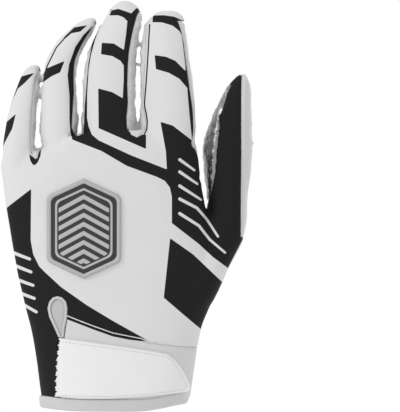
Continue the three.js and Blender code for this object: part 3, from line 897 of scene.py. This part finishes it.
WHITE = (0.57, 0.57, 0.575)
BLACK = (0.009, 0.009, 0.0095)
knit = finish(
    "printed_knit", WHITE, 0.78, 0.35, 0.45, 0.03, Specular_IOR_Level=0.15)
two_tone(knit, "ink", WHITE, BLACK, 0.06)
side_cloth = finish("side_cloth", (0.52, 0.52, 0.525), 0.7, 0.5, 0.7, 0.06, Sheen_Weight=0.2)
grip_sheet = finish("grip_sheet", (0.50, 0.50, 0.505), 0.42, 0.3, 0.9, 0.05)
wrist_cloth = finish(
    "wrist_cloth", (0.52, 0.52, 0.525), 0.8, 0.3, 0.5, 0.03, Specular_IOR_Level=0.15)
two_tone(wrist_cloth, "ink", (0.52, 0.52, 0.525), BLACK, 0.06)
silver_cloth = finish(
    "silver_cloth", (0.26, 0.26, 0.27), 0.28, 1.0, 1.1, 0.45, Metallic=0.9)
tape = finish("edge_tape", (0.46, 0.46, 0.465), 0.75, 0.5, 0.5, 0.04)
strap_hide = finish("strap_hide", (0.64, 0.64, 0.645), 0.45, 0.25, 0.8, 0.02)
vent_cloth = finish("vent_cloth", (0.40, 0.40, 0.40), 0.85, 0.8, 1.2, 0.14)
thread = finish("thread", (0.42, 0.42, 0.42), 0.6, 0.3, 0.3, 0.03)
grip_dot = finish("grip_dot", (0.05, 0.05, 0.052), 0.35, 0.1, 0.5, 0.05)
welt = finish("welt", (0.62, 0.62, 0.62), 0.6, 0.3, 0.4, 0.02)
print("finishes:", len(bpy.data.materials))

# %% Turn each region into a piece
def make_piece(name, points, faces, material, slot, wall=0.0, **attributes):
    """A named mesh with smooth shading, an optional inner wall and float attributes."""
    mesh = bpy.data.meshes.new(name)
    mesh.from_pydata(np.asarray(points).tolist(), [], [list(map(int, face)) for face in faces])
    mesh.update()
    mesh.shade_smooth()
    for key, values in attributes.items():
        layer = mesh.attributes.new(key, "FLOAT", "POINT")
        layer.data.foreach_set("value", np.asarray(values, np.float32))
    mesh.materials.append(material)
    piece = bpy.data.objects.new(name, mesh)
    bpy.context.collection.objects.link(piece)
    if wall:
        shell = piece.modifiers.new("wall", "SOLIDIFY")
        shell.thickness = wall
        shell.offset = -1
        shell.use_even_offset = False
        solid = bpy.data.meshes.new_from_object(
            piece.evaluated_get(bpy.context.evaluated_depsgraph_get()))
        piece.modifiers.clear()
        piece.data = solid
        solid.name = name
    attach(piece, "root")
    return piece


SKIN_PIECES = {
    "back_panel": (knit, "back_knit"),
    "palm_panel": (grip_sheet, "grip_palm"),
    "thumb_palm": (grip_sheet, "grip_thumb"),
    "thumb_gusset": (silver_cloth, "silver_cloth"),
    "wrist_panel": (wrist_cloth, "wrist_cloth"),
    "fourchette_little_ring": (side_cloth, "side_cloth"),
    "fourchette_ring_middle": (side_cloth, "side_cloth"),
    "fourchette_middle_index": (side_cloth, "side_cloth"),
}
ink_values = ink(verts) / MM
for name, (material, slot) in SKIN_PIECES.items():
    chosen = tris[labels == names.index(name)]
    used, compact = np.unique(chosen, return_inverse=True)
    piece = make_piece(
        "skin_" + name, verts[used], compact.reshape(-1, 3), material, slot, WALL,
        ink=ink_values[used])
    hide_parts(name)
    print(piece.name, len(piece.data.polygons), "faces")

# %% [markdown]
# The strap, badge, piping and vent edge are sheets that lie on the skin. Each is a flat
# field of small squares cut to its outline, dropped onto the skin by a ray, and raised by a
# height that depends on how far a point is from the edge, which gives soft, rounded borders.

# %% Lay a sheet on the skin
def skin_depth(x, z):
    """Depth of the skin's back surface behind a place, by a ray from the front."""
    hit = skin_tree.ray_cast(Vector((x, -0.2, z)), Vector((0, 1, 0)))
    return hit[0].y if hit[0] is not None else float(mid_depth(x, z))


def overlay(name, field, box, height, material, slot, step=0.45 * MM, sink=0.3 * MM, **extra):
    """A sheet over the part of a box where the field is positive."""
    (x0, z0), (x1, z1) = box
    xs = np.arange(x0, x1 + step, step)
    zs = np.arange(z0, z1 + step, step)
    gx, gz = np.meshgrid(xs, zs)
    flat = np.stack([gx.ravel(), np.zeros(gx.size), gz.ravel()], axis=1)
    index = np.arange(gx.size).reshape(gx.shape)
    a, b = index[:-1, :-1].ravel(), index[:-1, 1:].ravel()
    c, d = index[1:, 1:].ravel(), index[1:, :-1].ravel()
    sheet = np.concatenate([np.stack([a, b, c], 1), np.stack([a, c, d], 1)])
    flat, sheet = cut(flat, sheet, lambda p: field(p[:, 0], p[:, 2]))
    middle = flat[sheet].mean(axis=1)
    sheet = sheet[field(middle[:, 0], middle[:, 2]) > 0]
    used, sheet = np.unique(sheet, return_inverse=True)
    sheet = sheet.reshape(-1, 3)
    flat = flat[used]
    x, z = flat[:, 0], flat[:, 2]
    inside = field(x, z)
    ground = np.array([skin_depth(px, pz) for px, pz in zip(x, z)])
    for _ in range(3):
        total = np.zeros(len(flat))
        count = np.zeros(len(flat))
        for first, second in ((0, 1), (1, 2), (2, 0)):
            np.add.at(total, sheet[:, first], ground[sheet[:, second]])
            np.add.at(count, sheet[:, first], 1)
        ground = np.where(count > 0, 0.5 * ground + 0.5 * total / np.maximum(count, 1), ground)
    flat[:, 1] = ground - height(x, z, inside)
    bottom = flat.copy()
    bottom[:, 1] = ground + sink
    edges = np.sort(np.concatenate([sheet[:, [0, 1]], sheet[:, [1, 2]], sheet[:, [2, 0]]]), axis=1)
    directed = np.concatenate([sheet[:, [0, 1]], sheet[:, [1, 2]], sheet[:, [2, 0]]])
    _, back, count = np.unique(edges, axis=0, return_inverse=True, return_counts=True)
    rim = directed[count[back.ravel()] == 1]
    shift = len(flat)
    walls = np.concatenate([
        np.stack([rim[:, 1], rim[:, 0], rim[:, 0] + shift], 1),
        np.stack([rim[:, 1], rim[:, 0] + shift, rim[:, 1] + shift], 1)])
    faces = np.concatenate([sheet, sheet[:, ::-1] + shift, walls])
    values = {key: np.tile(make(x, z, inside), 2) for key, make in extra.items()}
    return make_piece(name, np.concatenate([flat, bottom]), faces, material, slot, **values)


def rounded(height, edge):
    """A sheet of even height whose border falls off round."""
    def profile(x, z, inside):
        share = np.clip(inside / edge, 0, 1)
        return 0.2 * MM + height * np.sqrt(np.clip(1 - (1 - share) ** 2, 0, 1))
    return profile


def span(points, margin=1.0 * MM):
    """The box round an outline."""
    xs, zs = zip(*points)
    return (min(xs) - margin, min(zs) - margin), (max(xs) + margin, max(zs) + margin)


# %% [markdown]
# The strap is a smooth white tab over the wrist, wider where it is sewn and pointed where
# it closes. Its face is plain. A line of thread runs inside its edge.

# %% Closure strap
STRAP = photo_line(
    (60.5, 337), (85, 340), (110, 343.6), (140, 347.8), (167.7, 352.8), (175, 358), (180, 364.5),
    (184, 371), (187, 377.5), (189.3, 383.5), (190.2, 388), (189, 390.6), (184, 391.6),
    (150, 395), (110, 397.5), (80, 397.5), (56.5, 395.5), (56.8, 380), (57.8, 360))
strap_field = outline(STRAP)


def ragged(x, z):
    """The strap's outline with its worn, hook-side edge at the left."""
    left = ease((place(66, 0)[0] - x) / (4 * MM))
    wave = 0.35 * MM * np.sin(z / (0.55 * MM)) + 0.25 * MM * np.sin(z / (0.23 * MM) + 1)
    return strap_field(x, z) + left * wave


strap = overlay(
    "strap_tab", ragged, span(STRAP), rounded(1.5 * MM, 0.9 * MM), strap_hide, "strap")
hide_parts("closure_strap")
print("strap faces:", len(strap.data.polygons))

# %% [markdown]
# The vent is a small bound opening with a soft cloth set behind it. The cloth is a sunk
# sheet, and the binding is a raised band that follows the same outline.

# %% Vent cloth and its binding
RIM = 1.15 * MM


def vent_band(x, z):
    inside = vent_outline(x, z)
    return np.minimum.reduce([inside + 0.25 * MM, RIM - inside, z - STRAP_TOP - 0.2 * MM])


def band_height(x, z, inside):
    return 0.15 * MM + 0.75 * MM * np.sqrt(np.clip(inside / (0.65 * MM), 0, 1))


VENT_BOX = span(VENT)


def cloth_height(x, z, inside):
    return np.full(len(x), -0.35 * MM)


vent_fill = overlay(
    "vent_cloth", lambda x, z: np.minimum(vent_outline(x, z) - 0.6 * MM, z - STRAP_TOP),
    VENT_BOX, cloth_height, vent_cloth, "vent_cloth", sink=1.2 * MM)
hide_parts("vent_gusset")
vent_edge = overlay(
    "vent_edge", vent_band, VENT_BOX, band_height, tape, "binding", step=0.3 * MM)
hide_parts("vent_binding")
print("vent faces:", len(vent_fill.data.polygons), len(vent_edge.data.polygons))

# %% Piping over the wrist panel
PIPING = WRIST_SEAM[:7]
piping_field = stroke(PIPING, 0.62 * PIXEL, 0.5 * PIXEL)
piping = overlay(
    "wrist_welt", piping_field, span(PIPING), rounded(0.45 * MM, 0.3 * MM), welt, "piping",
    step=0.25 * MM)
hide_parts("wrist_piping")
print("piping faces:", len(piping.data.polygons))

# %% [markdown]
# The badge is a moulded patch with a pale raised border. Its field holds a plain ribbed
# hexagon: a raised frame, a dark ground and a few bars.

# %% Badge
badge_low, badge_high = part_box("back_badge")
badge_x = (badge_low.x + badge_high.x) / 2
badge_z = (badge_low.z + badge_high.z) / 2
badge_half = (badge_high.x - badge_low.x) / 2
badge_tall = (badge_high.z - badge_low.z) / 2


def hexagon(x, z):
    """Signed distance to a tall six-sided shape with soft corners."""
    u = np.abs(x - badge_x)
    v = np.abs(z - badge_z)
    side = badge_half - u
    slope_x, slope_z = 0.42, 0.9075
    cap = (badge_tall - v) * slope_z - u * slope_x + 0.6 * MM
    soft = 2.2 * MM
    blend = np.clip(0.5 + 0.5 * (cap - side) / soft, 0, 1)
    return cap * (1 - blend) + side * blend - soft * blend * (1 - blend)


def badge_tone(x, z, inside):
    """Dark ground, a pale border and pale bars, as a signed distance in millimetres."""
    border = np.abs(inside - 1.0 * MM) - 1.0 * MM
    inner = inside - 4.6 * MM
    frame_line = np.abs(inner) - 0.5 * MM
    pitch = 4.4 * MM
    rise = z - badge_z + 0.55 * np.abs(x - badge_x)
    bars = np.abs((rise / pitch) % 1 - 0.5) * pitch - 1.1 * MM
    field = np.maximum(bars, -(inner - 1.2 * MM))
    return np.minimum.reduce([border, frame_line, field]) / MM


def badge_height_at(x, z, inside):
    """Raised border and bars over a flat ground."""
    base = 0.9 * MM * np.sqrt(np.clip(inside / (0.8 * MM), 0, 1))
    border = 0.7 * MM * np.exp(-(((inside - 1.0 * MM) / (0.75 * MM)) ** 2))
    bars = 0.3 * MM * ease(0.5 - badge_tone(x, z, inside) * (inside > 3 * MM) * 1.4)
    return 0.2 * MM + base + border + np.where(inside > 3 * MM, bars, 0)


badge_rubber = finish("badge_rubber", (0.3, 0.3, 0.3), 0.42, 0.15, 0.5, 0.02)
two_tone(badge_rubber, "tone", (0.36, 0.36, 0.37), (0.012, 0.012, 0.013), 0.08)
badge = overlay(
    "badge_patch", hexagon,
    ((badge_x - badge_half - MM, badge_z - badge_tall - MM),
     (badge_x + badge_half + MM, badge_z + badge_tall + MM)),
    badge_height_at, badge_rubber, "badge", step=0.4 * MM, tone=badge_tone)
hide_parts("back_badge")
print("badge faces:", len(badge.data.polygons))

# %% [markdown]
# The wrist mouth is bound with a folded tape. The tape is a loft: its rounded profile is
# carried round the wrist's own section, and a shallow wave keeps it from looking turned.

# %% Cuff binding
CUFF_STEPS = 180
PROFILE_STEPS = 28
CLIMB_THUMB = 3.2 * MM
CLIMB_LITTLE = 1.2 * MM
TAPE_INSET = 0.7 * MM
TAPE_HALF = 1.35 * MM


def wrist_point(angle, grow, z):
    """A point on the wrist's section at a height, grown outwards."""
    x, half, depth, _, _ = hand_section(max(z, 0) / PALM_LENGTH, grow)
    u = np.sign(math.cos(angle)) * abs(math.cos(angle)) ** (2 / HAND_POWER)
    v = np.sign(math.sin(angle)) * abs(math.sin(angle)) ** (2 / HAND_POWER)
    return x + u * half, v * depth


points = []
for step in range(CUFF_STEPS):
    angle = 2 * math.pi * step / CUFF_STEPS
    wave = 0.15 * MM * math.sin(5 * angle) + 0.1 * MM * math.sin(11 * angle + 1)
    for turn in range(PROFILE_STEPS):
        t = 2 * math.pi * turn / PROFILE_STEPS
        out = np.sign(math.cos(t)) * abs(math.cos(t)) ** 0.7
        up = np.sign(math.sin(t)) * abs(math.sin(t)) ** 0.35
        z = BINDING_HEIGHT / 2 + up * BINDING_HEIGHT / 2
        lobe = 1 + 0.7 * float(ease((-math.cos(angle) - 0.8) / 0.15))
        x, y = wrist_point(angle, -TAPE_INSET + TAPE_HALF * out * lobe + wave * 0.5, z)
        climb = CLIMB_THUMB * float(ease((x - 12 * MM) / (24 * MM)))
        climb += CLIMB_LITTLE * float(ease((-x - 20 * MM) / (16 * MM)))
        points.append((x, y, z + (wave if z < 2 * MM else 0) * 0.5 + 0.08 * MM + climb))
index = np.arange(CUFF_STEPS * PROFILE_STEPS).reshape(CUFF_STEPS, PROFILE_STEPS)
right = np.roll(index, -1, axis=0)
above = np.roll(index, -1, axis=1)
faces = np.stack([index, right, np.roll(right, -1, axis=1), above], -1).reshape(-1, 4)
cuff_tape = make_piece("cuff_tape", points, faces, tape, "binding")
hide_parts("cuff_binding")
print("cuff faces:", len(cuff_tape.data.polygons))

# %% [markdown]
# Stitches and grip dots repeat along lines and over surfaces, which is what Geometry Nodes
# are for. The tree takes points that carry a direction, a normal and a length, puts one
# small rounded bead on each, realizes them and gives them their finish.

# %% A tree that puts beads on points
def bead_tree(name, material):
    """Geometry Nodes: one bead at each point, turned and stretched by its attributes."""
    tree = bpy.data.node_groups.new(name, "GeometryNodeTree")
    tree.interface.new_socket("Geometry", in_out="INPUT", socket_type="NodeSocketGeometry")
    width = tree.interface.new_socket("Width", in_out="INPUT", socket_type="NodeSocketFloat")
    tree.interface.new_socket("Geometry", in_out="OUTPUT", socket_type="NodeSocketGeometry")
    nodes = tree.nodes
    links = tree.links
    start = nodes.new("NodeGroupInput")
    end = nodes.new("NodeGroupOutput")
    bead = nodes.new("GeometryNodeMeshIcoSphere")
    bead.inputs["Radius"].default_value = 0.5
    bead.inputs["Subdivisions"].default_value = 2
    put = nodes.new("GeometryNodeInstanceOnPoints")
    lie = nodes.new("FunctionNodeAxesToRotation")
    lie.primary_axis = "Z"
    lie.secondary_axis = "X"
    sizes = nodes.new("ShaderNodeCombineXYZ")
    for attribute, kind, node, socket in (
            ("up_way", "FLOAT_VECTOR", lie, "Primary Axis"),
            ("long_way", "FLOAT_VECTOR", lie, "Secondary Axis"),
            ("length", "FLOAT", sizes, "X"),
            ("width", "FLOAT", sizes, "Y")):
        read = nodes.new("GeometryNodeInputNamedAttribute")
        read.data_type = kind
        read.inputs["Name"].default_value = attribute
        links.new(read.outputs["Attribute"], node.inputs[socket])
    links.new(start.outputs["Width"], sizes.inputs["Z"])
    links.new(start.outputs["Geometry"], put.inputs["Points"])
    links.new(bead.outputs["Mesh"], put.inputs["Instance"])
    links.new(lie.outputs["Rotation"], put.inputs["Rotation"])
    links.new(sizes.outputs["Vector"], put.inputs["Scale"])
    real = nodes.new("GeometryNodeRealizeInstances")
    dress = nodes.new("GeometryNodeSetMaterial")
    dress.inputs["Material"].default_value = material
    links.new(put.outputs["Instances"], real.inputs["Geometry"])
    links.new(real.outputs["Geometry"], dress.inputs["Geometry"])
    links.new(dress.outputs["Geometry"], end.inputs["Geometry"])
    return tree, width.identifier


def beads(name, places, ups, alongs, lengths, widths, rise, material):
    """One plain mesh of beads at the given places."""
    mesh = bpy.data.meshes.new(name)
    mesh.from_pydata(np.asarray(places).tolist(), [], [])
    for key, values in (("up_way", ups), ("long_way", alongs)):
        layer = mesh.attributes.new(key, "FLOAT_VECTOR", "POINT")
        layer.data.foreach_set("vector", np.asarray(values, np.float32).ravel())
    for key, values in (("length", lengths), ("width", widths)):
        layer = mesh.attributes.new(key, "FLOAT", "POINT")
        layer.data.foreach_set("value", np.asarray(values, np.float32))
    piece = bpy.data.objects.new(name, mesh)
    bpy.context.collection.objects.link(piece)
    tree, width_input = bead_tree(name + "_tree", material)
    modifier = piece.modifiers.new("beads", "NODES")
    modifier.node_group = tree
    modifier[width_input] = rise
    plain = bpy.data.meshes.new_from_object(
        piece.evaluated_get(bpy.context.evaluated_depsgraph_get()))
    piece.modifiers.clear()
    piece.data = plain
    plain.name = name
    plain.shade_smooth()
    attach(piece, "root")
    print(name, len(places), "beads,", len(plain.polygons), "faces")
    return piece


def walk(line, pitch):
    """Stitches along a line of across and up values: middles and directions."""
    corners = np.array(line, float)
    lengths = np.linalg.norm(np.diff(corners, axis=0), axis=1)
    done = np.concatenate([[0], np.cumsum(lengths)])
    at = np.arange(pitch / 2, done[-1], pitch)
    middles = np.stack([np.interp(at, done, corners[:, axis]) for axis in (0, 1)], axis=1)
    row = np.clip(np.searchsorted(done, at) - 1, 0, len(lengths) - 1)
    ways = (corners[row + 1] - corners[row]) / lengths[row][:, None]
    return middles, ways


def front_stitches(name, line, pitch, length, height, material, tree):
    """Stitches on the front of a surface that a ray finds."""
    middles, ways = walk(line, pitch)
    places, ups, alongs = [], [], []
    for (px, pz), (wx, wz) in zip(middles, ways):
        hit = tree.ray_cast(Vector((px, -0.2, pz)), Vector((0, 1, 0)))
        if hit[0] is None:
            continue
        along = Vector((wx, 0, wz))
        along = (along - hit[1] * along.dot(hit[1])).normalized()
        places.append(hit[0] + hit[1] * height)
        ups.append(hit[1])
        alongs.append(along)
    count = len(places)
    return beads(
        name, places, ups, alongs, [length] * count, [0.35 * MM] * count, 0.3 * MM,
        material)


def tree_of(piece):
    co = np.zeros(len(piece.data.vertices) * 3)
    piece.data.vertices.foreach_get("co", co)
    return BVHTree.FromPolygons(
        co.reshape(-1, 3).tolist(), [tuple(face.vertices) for face in piece.data.polygons])


# %% Stitches on the strap
STRAP_STITCH = photo_line(
    (62, 340.5), (110, 346.8), (140, 351), (166.5, 355.6), (172.5, 360.2), (181, 373),
    (186.3, 384), (186.5, 387.6), (183, 388.9), (150, 392.2), (110, 394.7), (62, 394))
front_stitches(
    "strap_thread", STRAP_STITCH, 1.75 * MM, 1.05 * MM, 0.02 * MM, thread,
    tree_of(strap))

# %% [markdown]
# The grip side carries raised silicone spots. They could be one bump texture, but real ones
# catch the light at their edges. Rows of points are dropped on the palm by rays: round dots
# on the index and middle finger, dashes on the other two, and graded spots on the palm.

# %% Grip spots
GRADE_POINT = np.array(place(200, 200))
GRADE_REACH = 95 * MM
SEAM_CLEAR = 2.8 * MM
SPOT_PITCH = 3.5 * MM
DOT_PITCH = 2.5 * MM
DASH_PITCH = 3.3 * MM
SPOT_RISE = 0.45 * MM
spots = {"palm_spots": [], "finger_spots": []}


def spot(group, x, z, length, width, way):
    """Keeps one spot if the palm side is there, clear of seams and facing out."""
    hit = skin_tree.ray_cast(Vector((x, 0.3, z)), Vector((0, -1, 0)))
    if hit[0] is None or abs(hit[1].y) < 0.3 or tree.find(hit[0])[2] < SEAM_CLEAR:
        return
    along = Vector(way)
    along = (along - hit[1] * along.dot(hit[1])).normalized()
    spots[group].append((hit[0], hit[1], along, length, width))


for row, z in enumerate(np.arange(14 * MM, 122 * MM, SPOT_PITCH)):
    for x in np.arange(-60 * MM, 62 * MM, SPOT_PITCH) + (row % 2) * SPOT_PITCH / 2:
        arc = 9 * MM * ((x - HAND_LEAN) / PALM_WIDTH) ** 2
        far = min(np.hypot(x - GRADE_POINT[0], z - GRADE_POINT[1]) / GRADE_REACH, 1)
        spot("palm_spots", x, z + arc, (0.8 + 1.2 * far) * MM, (0.65 + 0.25 * far) * MM,
             (0.35, 0, 1))
for name in ORDER:
    round_dots = name in ("middle", "index")
    pitch = DOT_PITCH if round_dots else DASH_PITCH
    low = PALM_LENGTH + 0.12 * FINGER_LENGTHS[name]
    high = PALM_LENGTH + FINGER_LENGTHS[name] - 8 * MM
    for row, z in enumerate(np.arange(low, high, pitch)):
        for u in np.arange(-0.78, 0.8, 2 * pitch / FINGER_WIDTHS[name]):
            shift = (row % 2) * pitch / 2
            x = finger_centre(name, z) + u * FINGER_WIDTHS[name] / 2 + shift
            spot("finger_spots", x, z + 3 * MM * u * u, (0.8 if round_dots else 1.7) * MM,
                 (0.7 if round_dots else 0.8) * MM, (1, 0, 0.3 * u))
for name, kept in spots.items():
    places, ups, alongs, lengths, widths = zip(*kept)
    beads(name, places, ups, alongs, lengths, widths, SPOT_RISE, grip_dot)

# %% [markdown]
# The camera stands where the photograph's does: level with the glove, far off with a long
# lens, and aimed so that the glove sits in the left of the frame as its left view does.

# %% Camera, floor and light
DISTANCE = 2.4
camera_data = bpy.data.cameras.new("camera")
camera_data.sensor_fit = "HORIZONTAL"
camera_data.sensor_width = 36
camera_data.lens = 36 * DISTANCE / (PHOTO_WIDTH * PIXEL)
camera = bpy.data.objects.new("camera", camera_data)
aim_x, aim_z = place(PHOTO_WIDTH / 2, PHOTO_HEIGHT / 2)
camera.location = (aim_x, -DISTANCE, aim_z)
camera.rotation_euler = (math.pi / 2, 0, 0)
bpy.context.collection.objects.link(camera)
bpy.context.scene.camera = camera

floor_mesh = bpy.data.meshes.new("floor")
FLOOR_HALF = 0.7
FLOOR_LOW = -0.12
floor_mesh.from_pydata(
    [(-FLOOR_HALF, -FLOOR_HALF, FLOOR_LOW), (FLOOR_HALF, -FLOOR_HALF, FLOOR_LOW),
     (FLOOR_HALF, FLOOR_HALF, FLOOR_LOW), (-FLOOR_HALF, FLOOR_HALF, FLOOR_LOW)],
    [], [(0, 1, 2, 3)])
floor = bpy.data.objects.new("floor", floor_mesh)
bpy.context.collection.objects.link(floor)
floor_paint = finish("floor_paint", (0.93, 0.93, 0.93), 0.9, 0.02, 40, 0.01)
floor_mesh.materials.append(floor_paint)


def area_light(name, location, size, power, target=(0, 0, 0.1)):
    """A soft light that faces the glove."""
    data = bpy.data.lights.new(name, "AREA")
    data.size = size
    data.energy = power
    light = bpy.data.objects.new(name, data)
    light.location = location
    way = Vector(target) - Vector(location)
    light.rotation_euler = way.to_track_quat("-Z", "Y").to_euler()
    bpy.context.collection.objects.link(light)


# name, place, size in metres and power in watts
LIGHTS = [
    ("key", (-1.1, -0.8, 1.0), 0.6, 9),
    ("back_fill", (0.6, 1.3, 0.7), 0.8, 8),
]
for light in LIGHTS:
    area_light(*light)
world = bpy.data.worlds.new("studio")
world.use_nodes = True
world.node_tree.nodes["Background"].inputs["Color"].default_value = (1, 1, 1, 1)
world.node_tree.nodes["Background"].inputs["Strength"].default_value = 1.0
bpy.context.scene.world = world
bpy.context.scene.view_settings.view_transform = "Standard"
